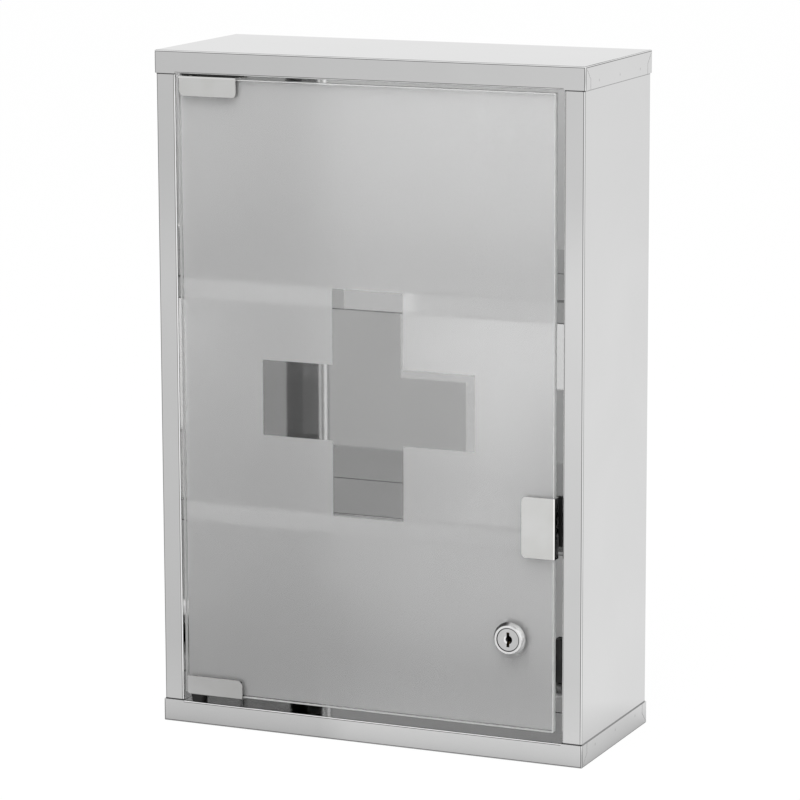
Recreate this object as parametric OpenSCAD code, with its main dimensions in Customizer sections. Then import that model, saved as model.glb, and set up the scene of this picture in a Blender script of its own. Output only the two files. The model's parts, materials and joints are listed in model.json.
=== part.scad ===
// Lockable medicine cabinet: folded steel carcass, two shelves, frosted glass door on corner pivots,
// touch latch and cam lock. X runs to the right, the door faces -Y, Z is up, millimetres.
// The origin is the middle of the carcass's footprint, on the underside of the bottom cap.

/* [Carcass] */
// Width of the carcass over its caps
carcass_w = 300; // [260:1:400]
// Depth of the carcass over its caps
carcass_d = 120; // [110:1:200]
// Height of the carcass over its caps
carcass_h = 450; // [420:1:600]
// Thickness of the folded sheet
sheet = 0.8; // [0.6:0.1:1]
// Outer radius of the sheet's folds
bend_r = 1.2; // [1.1:0.1:1.8]
// Height of the caps' flanges
cap_flange = 15; // [13:0.5:20]
// Width of the frame beside the doorway, from the carcass's side
frame_w = 14.5; // [12:0.5:20]
// Depth of the return flange behind the frame's face
return_d = 14; // [12:0.5:15]
// Depth of the caps' ledges above and below the doorway
ledge_d = 24; // [20:1:30]
// Height of the hem on a ledge's inner edge
hem_h = 6; // [3:0.5:10]
// Width of the side panels' rear flanges
rear_flange_w = 12; // [8:1:20]
// Length of the tabs that wrap round the caps' corners
tab_w = 8.5; // [6:0.5:12]
// Width of the open seam beside a tab
seam_w = 0.3; // [0.2:0.05:0.5]

/* [Wall holes] */
// Diameter of the wall holes
wall_hole_d = 6; // [5:0.5:8]
// Distance between wall holes, across
wall_hole_x = 230; // [180:5:240]
// Distance between wall holes, up
wall_hole_z = 370; // [300:5:380]

/* [Shelves] */
// Height of the lower shelf's top face
shelf_lower_z = 150; // [135:1:160]
// Height of the upper shelf's top face
shelf_upper_z = 300; // [285:1:330]
// Height of a shelf's folded lip
shelf_lip = 15; // [13:0.5:20]

/* [Door] */
// Thickness of the glass
glass_t = 5; // [4:0.5:6]
// Gap between the glass and the left frame
door_gap_left = 2; // [1.5:0.1:2.5]
// Gap between the glass and the right frame
door_gap_right = 6; // [5:0.1:8]
// Gap between the glass and the top ledge
door_gap_top = 2.5; // [2.3:0.1:3.5]
// Gap between the glass and the bottom ledge
door_gap_bottom = 6.3; // [5.5:0.1:8]
// Thickness of the frosted print
print_t = 0.2; // [0.15:0.05:0.3]
// Clear margin round the frosted print
print_margin = 1; // [0.5:0.1:2]
// Size of the clear cross, tip to tip
cross_size = 150; // [100:1:180]
// Width of the cross's arms
cross_arm = 50; // [30:1:60]
// Cross's middle, to the right of the carcass's middle
cross_x = -0.8; // [-10:0.1:10]

/* [Hinges] */
// Thickness of the clips' metal
clip_t = 1; // [0.8:0.1:1.1]
// Thickness of the liners between clip and glass
liner_t = 0.3; // [0.2:0.05:0.5]
// Length of a hinge clip along the door
hinge_clip_l = 40.6; // [36:0.2:50]
// Height of a hinge clip's plates
hinge_clip_h = 13; // [11:0.2:15]
// Distance from the glass's left edge to the clips
hinge_clip_inset = 1.6; // [1:0.1:3]
// Distance from the glass's left edge to the pivot axis
pivot_inset = 8; // [7.5:0.1:9]
// Distance from the glass's front face back to the pivot axis
pivot_setback = 4.2; // [3.8:0.1:4.4]
// Diameter of the pivot pins
pin_d = 4; // [3.6:0.1:4.2]
// Diameter of the bottom bush's head
bush_head_d = 11.2; // [10:0.2:12]
// Diameter of the bushes' spigots
bush_spigot_d = 6.8; // [6.4:0.1:7.2]
// Depth of the bushes' spigots, from the ledge's face
bush_spigot_l = 4.5; // [4:0.1:5]
// Length of the top pivot plate
pivot_plate_l = 46; // [44:0.5:52]
// Depth of the top pivot plate
pivot_plate_d = 11; // [10:0.5:14]
// Diameter of the clamping screws' heads
clamp_head_d = 5.2; // [4.5:0.1:6]
// Height of the clamping screws' heads
clamp_head_h = 1.6; // [1.2:0.1:2]
// Diameter of the clamping screws' shanks
clamp_shank_d = 3; // [2.5:0.1:3.5]
// Distance between the clamping screws of a hinge clip
clamp_pitch = 13; // [10:0.5:16]

/* [Strike clip] */
// Width of the strike clip
strike_w = 23; // [18:0.5:30]
// Height of the strike clip
strike_h = 39.8; // [30:0.2:50]
// Middle of the strike clip, above the lower shelf's top
strike_rise = 5.2; // [3:0.1:8]
// Radius of the strike clip's corners
strike_corner_r = 3; // [2:0.5:5]

/* [Touch latch] */
// Width of the latch housing
latch_w = 14; // [12.5:0.5:15]
// Height of the latch housing
latch_h = 13; // [12.5:0.5:18]
// Depth of the latch housing
latch_d = 38.3; // [34:0.1:50]
// Distance from the housing's front back to the shelf's lip
latch_overhang = 5.4; // [4.5:0.1:5.9]
// How far the latch's face plate stands above the housing
latch_plate_h = 19.4; // [12:0.1:22]
// Thickness of the latch's face plate
latch_plate_t = 2; // [1.5:0.1:3]
// How far the latch housing stands above the shelf
latch_rise = 5; // [3.5:0.5:8]
// Gap between the latch housing and the return flange
latch_side_gap = 4; // [3.5:0.5:6]
// Diameter of the plunger
plunger_d = 7; // [6:0.2:8]
// Travel of the plunger
plunger_travel = 8; // [6:0.5:10]
// Length of the plunger
plunger_l = 26; // [22:0.5:27]
// Diameter of the magnet in the plunger's tip
magnet_d = 5; // [4:0.2:5.4]
// Length of the magnet
magnet_l = 4; // [3:0.5:8]
// Width of the latch's screw ear
ear_w = 14.5; // [12:0.5:20]
// Thickness of the latch's screw ear
ear_t = 1.6; // [1.2:0.1:3]
// Distance between the ear's screws
ear_pitch = 14; // [12:0.5:18]
// Wire of the latch spring
spring_wire = 0.6; // [0.5:0.05:0.8]
// Turns of the latch spring
spring_turns = 5; // [3:1:7]

/* [Door stop] */
// Height of the stop block
stop_h = 28; // [22:1:36]
// Height of the stop block's lower end above the bottom ledge
stop_rise = 38.8; // [25:0.1:42]
// Width of the stop block
stop_w = 7.3; // [6.9:0.1:9]
// Diameter of the stop block's screws
stop_screw_d = 2.5; // [2:0.1:3]

/* [Lock] */
// Lock's axis, in from the glass's right edge
lock_inset = 29.5; // [26:0.5:36]
// Lock's axis, above the glass's lower edge
lock_rise = 59.7; // [55:0.1:75]
// Diameter of the bezel at the glass
bezel_d = 22; // [20:0.5:26]
// Diameter of the bezel's front rim
bezel_rim_d = 18.4; // [17.6:0.1:19.5]
// Height of the bezel
bezel_h = 4; // [3:0.1:5]
// Diameter of the barrel
barrel_d = 16; // [15:0.1:16.4]
// Diameter of the plug's head
plug_head_d = 15; // [14.4:0.1:15.4]
// Diameter of the plug's body
plug_d = 12; // [11:0.1:12.4]
// Height of the keyway
keyway_h = 9.7; // [8:0.1:10]
// Width of the keyway
keyway_w = 2; // [1.6:0.1:2.4]
// Diameter of the keyway's round dish
dish_d = 6; // [5:0.1:7]
// Width of the nut across its flats
nut_af = 22; // [20:0.5:24]
// Thickness of the nut
nut_t = 4; // [3:0.5:5]
// Turn of the nut on the barrel, in degrees
nut_turn = -10; // [-30:1:30]
// Length of the cam from the lock's axis
cam_l = 45; // [42:0.5:47]
// Width of the cam
cam_w = 12; // [10:0.5:14]
// Thickness of the cam
cam_t = 2; // [1.5:0.1:3]
// Number of wafers
wafer_count = 5; // [3:1:5]

/* [Hidden] */
$fn = 48;

STEEL = "lightgray";
CHROME = "silver";
BLACK = "dimgray";

// Clearances: between parts that pass or face each other, and between a shaft and its bore
gap = 0.3;
run_gap = 0.05;
// Overrun of a cut past the face that it opens
over = 1;

// Carcass planes
front_y = -carcass_d/2;
back_y = carcass_d/2;
panel_x = carcass_w/2 - sheet;
panel_front_y = front_y + sheet;
panel_back_y = back_y - sheet;
frame_x = carcass_w/2 - frame_w;
return_y = panel_front_y + return_d;
wall_x = panel_x - sheet;
bend_in = bend_r - sheet;
panel_low_z = bend_r;
// A tab's seam starts this far from the cap's corner
seam_start = 2;
back_sheet_y = panel_back_y - sheet;
ledge_end_x = frame_x - gap;
ledge_in_y = front_y + ledge_d;
ledge_low_z = cap_flange;
ledge_high_z = carcass_h - cap_flange;

// Shelves
shelf_front_y = return_y + gap;
shelf_back_y = back_sheet_y - sheet;

// Glass
glass_left = -frame_x + door_gap_left;
glass_right = frame_x - door_gap_right;
glass_low = ledge_low_z + door_gap_bottom;
glass_high = ledge_high_z - door_gap_top;
glass_front_y = panel_front_y;
glass_back_y = glass_front_y + glass_t;
print_back_y = glass_back_y + print_t;

// Clips: the planes of their two plates
clip_front_y = glass_front_y - liner_t - clip_t;
clip_back_in_y = print_back_y + liner_t;
clip_back_y = clip_back_in_y + clip_t;
hinge_clip_left = glass_left + hinge_clip_inset;
// How far a clip's web stands past the glass's edge
clip_over = liner_t + clip_t;
// Corner radii of a hinge clip's plates: at the fold left and right, at the open edge right and left
top_clip_radii = [1.2, 0, 2.8, 3.4];
bottom_clip_radii = [3, 0, 4, 1.5];
// Clamping screws: distance from the clip's open edge, and the middle of a hinge clip's pair
clamp_edge = 4.6;
clamp_x = hinge_clip_left + 0.6*hinge_clip_l;
// The liners end this far inside the clips' edges
liner_margin = 0.8;

// Pivots
pivot_x = glass_left + pivot_inset;
pivot_y = glass_front_y + pivot_setback;
pin_reach = bush_spigot_l - gap;
bush_taper = 1.2;
bush_foot_d = bush_head_d - bush_taper;
bush_flat_y = panel_front_y + 0.1;
bush_head_top = glass_low - clip_over - gap;
pivot_plate_low = glass_high + clip_over + gap;
pivot_plate_left = hinge_clip_left;
pivot_plate_front_y = panel_front_y + 0.2;
plate_screw_edge = 2.6;
plate_screw_x = pivot_plate_left + pivot_plate_l - plate_screw_edge;
plate_screw_y = pivot_plate_front_y + pivot_plate_d/2;
plate_screw_head_d = 4.4;
plate_screw_head_h = 0.9;
plate_screw_d = 2.4;
plate_screw_l = 5;

// Strike clip
strike_right = glass_right + clip_over;
strike_left = strike_right - strike_w;
strike_z = shelf_lower_z + strike_rise;
strike_screw_x = strike_left + clamp_edge;
strike_screw_edge = 6.9;
strike_screw_pitch = strike_h - 2*strike_screw_edge;

// Latch
latch_right = frame_x - latch_side_gap;
latch_left = latch_right - latch_w;
latch_x = (latch_left + latch_right)/2;
latch_top = shelf_lower_z + latch_rise;
latch_low = latch_top - latch_h;
latch_z = (latch_top + latch_low)/2;
latch_front_y = shelf_front_y - latch_overhang;
latch_back_y = latch_front_y + latch_d;
latch_wall = 2;
plunger_tip_y = clip_back_y + gap;
plunger_end_y = plunger_tip_y + plunger_l;
plunger_flange_w = 1.1;
plunger_flange_d = plunger_d + 2*plunger_flange_w;
plunger_flange_l = 2;
chamber_d = plunger_flange_d + 2*gap;
chamber_front_y = plunger_end_y - plunger_flange_l - plunger_travel - gap;
spring_front_y = plunger_end_y + gap;
spring_back_y = latch_back_y - latch_wall;
spring_r = plunger_d/2 - 1.5*spring_wire;
spring_steps = 10;
spring_sides = 6;
ear_left = latch_left - ear_w;
ear_setback = 3;
ear_front_y = shelf_front_y + ear_setback;
ear_screw_edge = 6;
ear_l = ear_pitch + 2*ear_screw_edge;
ear_screw_x = latch_left - ear_w/2;
ear_screw_d = 2.8;
ear_screw_head_d = 5;
ear_screw_head_h = 1.8;
ear_screw_l = 5;

// Door stop
stop_low = ledge_low_z + stop_rise;
stop_front_y = print_back_y + gap;
stop_screw_y = (stop_front_y + return_y)/2;
stop_screw_pitch = stop_h/2;
stop_head_d = 2*stop_screw_d;
stop_head_h = 1.5;
stop_head_sink = 1.2;

// Lock
lock_x = glass_right - lock_inset;
lock_z = glass_low + lock_rise;
gasket_t = 0.4;
bezel_back_y = glass_front_y - gasket_t;
bezel_front_y = bezel_back_y - bezel_h;
bezel_land = 0.8;
rim_in_d = plug_head_d + 2*gap;
plug_sink = 0.4;
plug_head_t = 2.2;
plug_front_y = bezel_front_y + plug_sink;
plug_head_back_y = plug_front_y + plug_head_t;
cam_gap = 0.9;
cam_front_y = return_y + cam_gap;
cam_back_y = cam_front_y + cam_t;
barrel_back_y = cam_front_y - gap;
plug_back_y = cam_front_y;
lock_hole_d = barrel_d + 2*gap;
nut_front_y = print_back_y;
tail_w = 7;
cam_hub_d = cam_w + 4;
keyway_l = 11.5;
dish_depth = 1.8;
cam_screw_d = 4;
cam_screw_head_d = 7;
cam_screw_head_h = 2.6;
cam_screw_l = 9;
cam_screw_tip_gap = 1;
cam_washer_d = 10;
cam_washer_t = 0.8;
cam_screw_seat_y = cam_back_y + cam_washer_t;
wafer_t = 0.8;
wafer_pitch = 1.8;
wafer_w = 4;
wafer_h = 0.88*plug_d;
wafer_gap = 0.1;
wafer_window_h = 5;
wafer_setback = 1.5;
wafer_first_y = plug_head_back_y + wafer_setback;
wafer_offsets = [0.6, -0.4, 0.8, 0, -0.7];

// ---- helpers ----

// Box between two opposite corners
module span(low, high) {
    translate(low) cube(high - low);
}

// Cylinder along +Y from y0 to y1 on the axis (x, z)
module rod_y(x, z, d, y0, y1) {
    translate([x, y0, z]) rotate([-90, 0, 0]) cylinder(d = d, h = y1 - y0);
}

// Cylinder along +Z from z0 to z1 on the axis (x, y)
module rod_z(x, y, d, z0, z1) {
    translate([x, y, z0]) cylinder(d = d, h = z1 - z0);
}

// Rectangle [0, 0] to size with its own radius at each corner, from the origin anticlockwise
module rounded_rect(size, radii) {
    corners = [[0, 0], [size.x, 0], size, [0, size.y]];
    inward = [[1, 1], [-1, 1], [-1, -1], [1, -1]];
    difference() {
        square(size);
        for (i = [0:3])
            if (radii[i] > 0)
                translate(corners[i]) corner_waste(inward[i], radii[i]);
    }
}

// What rounding a corner at the origin to radius r takes away; inward points into the shape
module corner_waste(inward, r) {
    difference() {
        translate([inward.x > 0 ? -over : -r, inward.y > 0 ? -over : -r]) square(r + over);
        translate(inward*r) circle(r = r);
    }
}

// Rectangle between two opposite corners in any order
module plate_between(a, b) {
    translate([min(a.x, b.x), min(a.y, b.y)]) square([abs(a.x - b.x), abs(a.y - b.y)]);
}

// Section of a folded strip: its outer face follows the path, which only turns left, and the
// strip lies to the left of it
module folded(path, t, r) {
    last = len(path) - 1;
    dirs = [for (i = [0:last - 1]) (path[i + 1] - path[i])/norm(path[i + 1] - path[i])];
    for (i = [0:last - 1])
        plate_between(path[i] + dirs[i]*(i > 0 ? r : 0),
                      path[i + 1] - dirs[i]*(i < last - 1 ? r : 0) + t*[-dirs[i].y, dirs[i].x]);
    for (i = [1:last - 1])
        fold_arc(path[i], path[i] - dirs[i - 1]*r + dirs[i]*r, t, r);
}

// Quarter ring of a fold between its outer corner and its centre
module fold_arc(corner, centre, t, r) {
    intersection() {
        plate_between(corner, centre);
        difference() {
            translate(centre) circle(r = r);
            if (r > t) translate(centre) circle(r = r - t);
        }
    }
}

// Block with its top and upright edges rounded, standing on z = 0
module soft_block(w, y0, y1, h, r) {
    d = y1 - y0;
    intersection() {
        translate([-w/2, y0, 0]) linear_extrude(h) rounded_rect([w, d], [r, r, r, r]);
        translate([-w/2, y0, 0]) rotate([90, 0, 90]) linear_extrude(w) rounded_rect([d, h], [0, 0, r, r]);
        translate([-w/2, y1, 0]) rotate([90, 0, 0]) linear_extrude(d) rounded_rect([w, h], [0, 0, r, r]);
    }
}

// Folded tray, open at the bottom: a plate at z = h with flanges down all four sides
module tray(w, y0, y1, h) {
    difference() {
        soft_block(w, y0, y1, h, bend_r);
        translate([0, 0, -over])
            soft_block(w - 2*sheet, y0 + sheet, y1 - sheet, h - sheet + over, bend_in);
    }
}

// ---- carcass ----

// Open seam beside the tab at one corner of a cap; the tab lies on the side flange
module tab_seam(side) {
    left = side > 0 ? panel_x - over : -carcass_w/2 - over;
    translate([left, front_y, 0]) rotate([90, 0, 90]) linear_extrude(sheet + 2*over)
        polygon([
            [seam_start, seam_start], [seam_start + seam_w, seam_start],
            [tab_w + seam_w, tab_w], [tab_w + seam_w, cap_flange + over],
            [tab_w, cap_flange + over], [tab_w, tab_w]
        ]);
}

// Cap with its plate at z = 0 and its flanges up; the top cap is this turned over
module cap() {
    difference() {
        union() {
            difference() {
                translate([0, 0, cap_flange]) mirror([0, 0, 1])
                    tray(carcass_w, front_y, back_y, cap_flange);
                span([-ledge_end_x, front_y - over, cap_flange/2],
                     [ledge_end_x, front_y + sheet + over, cap_flange + over]);
            }
            // Front flange folded in over the doorway as a ledge, with a hem
            translate([-ledge_end_x, 0, 0]) rotate([90, 0, 90]) linear_extrude(2*ledge_end_x)
                folded([[ledge_in_y, cap_flange - hem_h], [ledge_in_y, cap_flange],
                        [front_y, cap_flange], [front_y, cap_flange/2]], sheet, bend_r);
        }
        for (side = [-1, 1]) {
            tab_seam(side);
            mirror([0, 1, 0]) tab_seam(side);
        }
        // Hole for the bush's spigot
        rod_z(pivot_x, pivot_y, bush_spigot_d + 2*run_gap, cap_flange - sheet - over, cap_flange + over);
    }
}

module bottom_cap() {
    color(STEEL) cap();
}

module top_cap() {
    color(STEEL) difference() {
        translate([0, 0, carcass_h]) mirror([0, 0, 1]) cap();
        rod_z(plate_screw_x, plate_screw_y, plate_screw_d + 2*run_gap, ledge_high_z - over,
              ledge_high_z + sheet + over);
    }
}

// Right side panel: return flange, front face, wall and rear flange
module side_panel() {
    translate([0, 0, panel_low_z]) linear_extrude(carcass_h - 2*panel_low_z)
        folded([[frame_x, return_y], [frame_x, panel_front_y], [panel_x, panel_front_y],
                [panel_x, panel_back_y], [panel_x - rear_flange_w, panel_back_y]], sheet, bend_r);
}

module side_left() {
    color(STEEL) mirror([1, 0, 0]) side_panel();
}

module side_right() {
    color(STEEL) difference() {
        side_panel();
        at_stop_screws()
            rotate([0, 90, 0]) cylinder(d = stop_screw_d + 2*run_gap, h = stop_w + sheet + over);
    }
}

module back_panel() {
    color(STEEL) difference() {
        span([bend_in - wall_x, back_sheet_y - sheet, panel_low_z],
             [wall_x - bend_in, back_sheet_y, carcass_h - panel_low_z]);
        for (x = [-1, 1], z = [-1, 1])
            rod_y(x*wall_hole_x/2, carcass_h/2 + z*wall_hole_z/2, wall_hole_d,
                  back_sheet_y - sheet - over, back_sheet_y + over);
    }
}

module shelf(top_z) {
    translate([0, 0, top_z - shelf_lip]) tray(2*wall_x, shelf_front_y, shelf_back_y, shelf_lip);
}

module shelf_upper() {
    color(STEEL) shelf(shelf_upper_z);
}

module shelf_lower() {
    color(STEEL) difference() {
        shelf(shelf_lower_z);
        // Cut away round the latch housing
        span([latch_left - gap, shelf_front_y - over, latch_low - gap],
             [latch_right + gap, latch_back_y + gap, latch_top]);
        at_ear_screws() cylinder(d = ear_screw_d + 2*run_gap, h = 2*(sheet + over), center = true);
    }
}

// ---- hinge, fixed parts ----

module hinge_top_bush() {
    color(BLACK) difference() {
        union() {
            span([pivot_plate_left, pivot_plate_front_y, pivot_plate_low],
                 [pivot_plate_left + pivot_plate_l, pivot_plate_front_y + pivot_plate_d, ledge_high_z]);
            rod_z(pivot_x, pivot_y, bush_spigot_d, pivot_plate_low, ledge_high_z + bush_spigot_l);
        }
        rod_z(pivot_x, pivot_y, pin_d + 2*run_gap, pivot_plate_low - over,
              ledge_high_z + bush_spigot_l + over);
        rod_z(plate_screw_x, plate_screw_y, plate_screw_d + 2*run_gap, pivot_plate_low - over,
              ledge_high_z + over);
    }
}

module hinge_plate_screw() {
    color(CHROME) {
        rod_z(plate_screw_x, plate_screw_y, plate_screw_head_d,
              pivot_plate_low - plate_screw_head_h, pivot_plate_low);
        rod_z(plate_screw_x, plate_screw_y, plate_screw_d,
              pivot_plate_low - plate_screw_head_h, pivot_plate_low + plate_screw_l);
    }
}

// Thrust bush with a tapered head; its front is cut flat behind the cap's flange
module hinge_bottom_bush() {
    color(BLACK) difference() {
        union() {
            translate([pivot_x, pivot_y, ledge_low_z])
                cylinder(d1 = bush_foot_d, d2 = bush_head_d, h = bush_head_top - ledge_low_z);
            rod_z(pivot_x, pivot_y, bush_spigot_d, ledge_low_z - bush_spigot_l, ledge_low_z);
        }
        span([pivot_x - bush_head_d, bush_flat_y - bush_head_d, ledge_low_z - bush_spigot_l - over],
             [pivot_x + bush_head_d, bush_flat_y, bush_head_top + over]);
        rod_z(pivot_x, pivot_y, pin_d + 2*run_gap, ledge_low_z - bush_spigot_l - over,
              bush_head_top + over);
    }
}

// ---- touch latch ----

module at_ear_screws() {
    for (i = [0, 1])
        translate([ear_screw_x, ear_front_y + ear_screw_edge + i*ear_pitch, shelf_lower_z])
            children();
}

module latch_housing() {
    color(BLACK) difference() {
        union() {
            span([latch_left, latch_front_y, latch_low], [latch_right, latch_back_y, latch_top]);
            span([latch_left, latch_front_y, latch_low],
                 [latch_right, latch_front_y + latch_plate_t, latch_top + latch_plate_h]);
            span([ear_left, ear_front_y, shelf_lower_z],
                 [latch_left, ear_front_y + ear_l, shelf_lower_z + ear_t]);
        }
        rod_y(latch_x, latch_z, plunger_d + 2*run_gap, latch_front_y - over, latch_back_y - latch_wall);
        rod_y(latch_x, latch_z, chamber_d, chamber_front_y, latch_back_y - latch_wall);
        at_ear_screws() translate([0, 0, -over])
            cylinder(d = ear_screw_d + 2*run_gap, h = ear_t + 2*over);
    }
}

module latch_screws() {
    color(CHROME) at_ear_screws() {
        translate([0, 0, ear_t]) cylinder(d = ear_screw_head_d, h = ear_screw_head_h);
        translate([0, 0, ear_t - ear_screw_l])
            cylinder(d = ear_screw_d, h = ear_screw_l + ear_screw_head_h);
    }
}

// One ring of the spring's wire after a turn of angle a, at height y along the coil
function wire_ring(a, y, sides) = [
    for (k = [0:sides - 1])
        let (r = spring_r + spring_wire/2*cos(360*k/sides))
            [r*cos(a), y + spring_wire/2*sin(360*k/sides), r*sin(a)]
];

// Coil of the given turns and length along Y, round the origin
module coil(turns, l) {
    rings = turns*spring_steps;
    rise = l - spring_wire;
    points = [
        for (i = [0:rings]) each wire_ring(360*i/spring_steps, spring_wire/2 + rise*i/rings, spring_sides)
    ];
    walls = [
        for (i = [0:rings - 1], k = [0:spring_sides - 1])
            let (a = i*spring_sides + k, b = i*spring_sides + (k + 1)%spring_sides)
                each [[a, b, b + spring_sides], [a, b + spring_sides, a + spring_sides]]
    ];
    first_end = [for (k = [spring_sides - 1:-1:0]) k];
    last_end = [for (k = [0:spring_sides - 1]) rings*spring_sides + k];
    polyhedron(points, concat(walls, [first_end, last_end]));
}

module latch_spring() {
    color(CHROME) translate([latch_x, spring_front_y, latch_z])
        coil(spring_turns, spring_back_y - spring_front_y);
}

module latch_plunger() {
    color(BLACK) difference() {
        union() {
            rod_y(latch_x, latch_z, plunger_d, plunger_tip_y, plunger_end_y);
            rod_y(latch_x, latch_z, plunger_flange_d, plunger_end_y - plunger_flange_l, plunger_end_y);
        }
        rod_y(latch_x, latch_z, magnet_d + 2*run_gap, plunger_tip_y - over, plunger_tip_y + magnet_l);
    }
}

module latch_magnet() {
    color(CHROME) rod_y(latch_x, latch_z, magnet_d, plunger_tip_y, plunger_tip_y + magnet_l);
}

// ---- door stop ----

module at_stop_screws() {
    for (i = [-1, 1])
        translate([frame_x - stop_w, stop_screw_y, stop_low + stop_h/2 + i*stop_screw_pitch/2])
            children();
}

module door_stop_block() {
    color(BLACK) difference() {
        span([frame_x - stop_w, stop_front_y, stop_low], [frame_x, return_y, stop_low + stop_h]);
        at_stop_screws() rotate([0, 90, 0]) {
            translate([0, 0, -over]) cylinder(d = stop_screw_d + 2*run_gap, h = stop_w + 2*over);
            translate([0, 0, -over])
                cylinder(d = stop_head_d + gap, h = stop_head_sink + stop_head_h + over);
        }
    }
}

module door_stop_screws() {
    color(CHROME) at_stop_screws() rotate([0, 90, 0]) {
        translate([0, 0, stop_head_sink]) cylinder(d = stop_head_d, h = stop_head_h);
        translate([0, 0, stop_head_sink]) cylinder(d = stop_screw_d, h = stop_w + sheet + stop_head_sink);
    }
}

// ---- door ----

module door_glass() {
    color("lightcyan", 0.5) difference() {
        span([glass_left, glass_front_y, glass_low], [glass_right, glass_back_y, glass_high]);
        rod_y(lock_x, lock_z, lock_hole_d, glass_front_y - over, glass_back_y + over);
    }
}

module frosted_print() {
    color("whitesmoke") difference() {
        span([glass_left + print_margin, glass_back_y, glass_low + print_margin],
             [glass_right - print_margin, print_back_y, glass_high - print_margin]);
        translate([cross_x, glass_back_y + print_t/2, carcass_h/2]) {
            cube([cross_size, print_t + 2*over, cross_arm], center = true);
            cube([cross_arm, print_t + 2*over, cross_size], center = true);
        }
        rod_y(lock_x, lock_z, lock_hole_d, glass_back_y - over, print_back_y + over);
    }
}

// U section round an edge at [0, 0], between the planes y0 and y1; it reaches as far as high
module u_section(y0, y1, high, t, r) {
    folded([[y0, high], [y0, -t], [y1, -t], [y1, high]], t, r);
}

// Hinge clip for the lower edge of a pane that starts at z = 0
module hinge_clip(radii) {
    high = hinge_clip_h - clip_over;
    difference() {
        intersection() {
            translate([hinge_clip_left, 0, -liner_t]) rotate([90, 0, 90]) linear_extrude(hinge_clip_l)
                u_section(clip_front_y, clip_back_y, high + liner_t, clip_t, clip_over);
            translate([hinge_clip_left, clip_back_y + over, -clip_over])
                rotate([90, 0, 0]) linear_extrude(clip_back_y - clip_front_y + 2*over)
                    rounded_rect([hinge_clip_l, hinge_clip_h], radii);
        }
        rod_z(pivot_x, pivot_y, pin_d + 2*run_gap, -clip_over - over, -liner_t + over);
        at_clamp_screws() rotate([90, 0, 0])
            cylinder(d = clamp_shank_d + 2*run_gap, h = 2*(clip_t + over), center = true);
    }
}

module at_clamp_screws() {
    for (i = [-1, 1])
        translate([clamp_x + i*clamp_pitch/2, clip_back_y, hinge_clip_h - clip_over - clamp_edge])
            children();
}

// Liner of a hinge clip: it stays inside the clip's rounded plates
module hinge_liner() {
    translate([hinge_clip_left + liner_margin, 0, 0])
        rotate([90, 0, 90]) linear_extrude(hinge_clip_l - 2*liner_margin)
            u_section(glass_front_y - liner_t, clip_back_in_y, hinge_clip_h - clip_over - liner_margin,
                      liner_t, liner_t);
}

// Pivot pin of the lower clip, for an edge that stands edge_gap off its ledge
module hinge_pin(edge_gap) {
    rod_z(pivot_x, pivot_y, pin_d, -edge_gap - pin_reach, -liner_t);
}

module clamp_screw() {
    rotate([-90, 0, 0]) cylinder(d = clamp_head_d, h = clamp_head_h);
    rotate([-90, 0, 0]) translate([0, 0, -clip_t]) cylinder(d = clamp_shank_d, h = clip_t + clamp_head_h);
}

// Puts a piece made for the lower glass edge on the lower or the upper edge
module on_edge(upper) {
    if (upper)
        translate([0, 0, glass_high]) mirror([0, 0, 1]) children();
    else
        translate([0, 0, glass_low]) children();
}

module hinge_top_clip() {
    color(CHROME) on_edge(true) hinge_clip(top_clip_radii);
}

module hinge_bottom_clip() {
    color(CHROME) on_edge(false) hinge_clip(bottom_clip_radii);
}

module hinge_top_liner() {
    color(BLACK) on_edge(true) hinge_liner();
}

module hinge_bottom_liner() {
    color(BLACK) on_edge(false) hinge_liner();
}

module hinge_top_screws() {
    color(CHROME) on_edge(true) at_clamp_screws() clamp_screw();
}

module hinge_bottom_screws() {
    color(CHROME) on_edge(false) at_clamp_screws() clamp_screw();
}

module hinge_bottom_pin() {
    color(CHROME) on_edge(false) hinge_pin(door_gap_bottom);
}

module hinge_top_pin() {
    color(CHROME) on_edge(true) hinge_pin(door_gap_top);
}

// ---- strike clip ----

// Section of a U round the glass's right edge, seen from above; its plates start at left
module right_edge_section(y0, y1, left, x, t, r) {
    folded([[left, y0], [x, y0], [x, y1], [left, y1]], t, r);
}

module at_strike_screws() {
    for (i = [-1, 1])
        translate([strike_screw_x, clip_back_y, strike_z + i*strike_screw_pitch/2]) children();
}

module strike_clip() {
    low = strike_z - strike_h/2;
    color(CHROME) difference() {
        intersection() {
            translate([0, 0, low]) linear_extrude(strike_h)
                right_edge_section(clip_front_y, clip_back_y, strike_left, strike_right, clip_t, clip_over);
            translate([strike_left, clip_back_y + over, low])
                rotate([90, 0, 0]) linear_extrude(clip_back_y - clip_front_y + 2*over)
                    rounded_rect([strike_w, strike_h], [strike_corner_r, 0, 0, strike_corner_r]);
        }
        at_strike_screws() rotate([90, 0, 0])
            cylinder(d = clamp_shank_d + 2*run_gap, h = 2*(clip_t + over), center = true);
    }
}

module strike_liner() {
    color(BLACK) translate([0, 0, strike_z - strike_h/2 + liner_margin])
        linear_extrude(strike_h - 2*liner_margin)
            right_edge_section(glass_front_y - liner_t, clip_back_in_y, strike_left + liner_margin,
                               glass_right + liner_t, liner_t, liner_t);
}

module strike_screws() {
    color(CHROME) at_strike_screws() clamp_screw();
}

// ---- lock ----

// Turns a profile of [radius, y] points round the lock's axis
module lock_turned() {
    translate([lock_x, 0, lock_z]) rotate([-90, 0, 0]) rotate_extrude() children();
}

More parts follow.
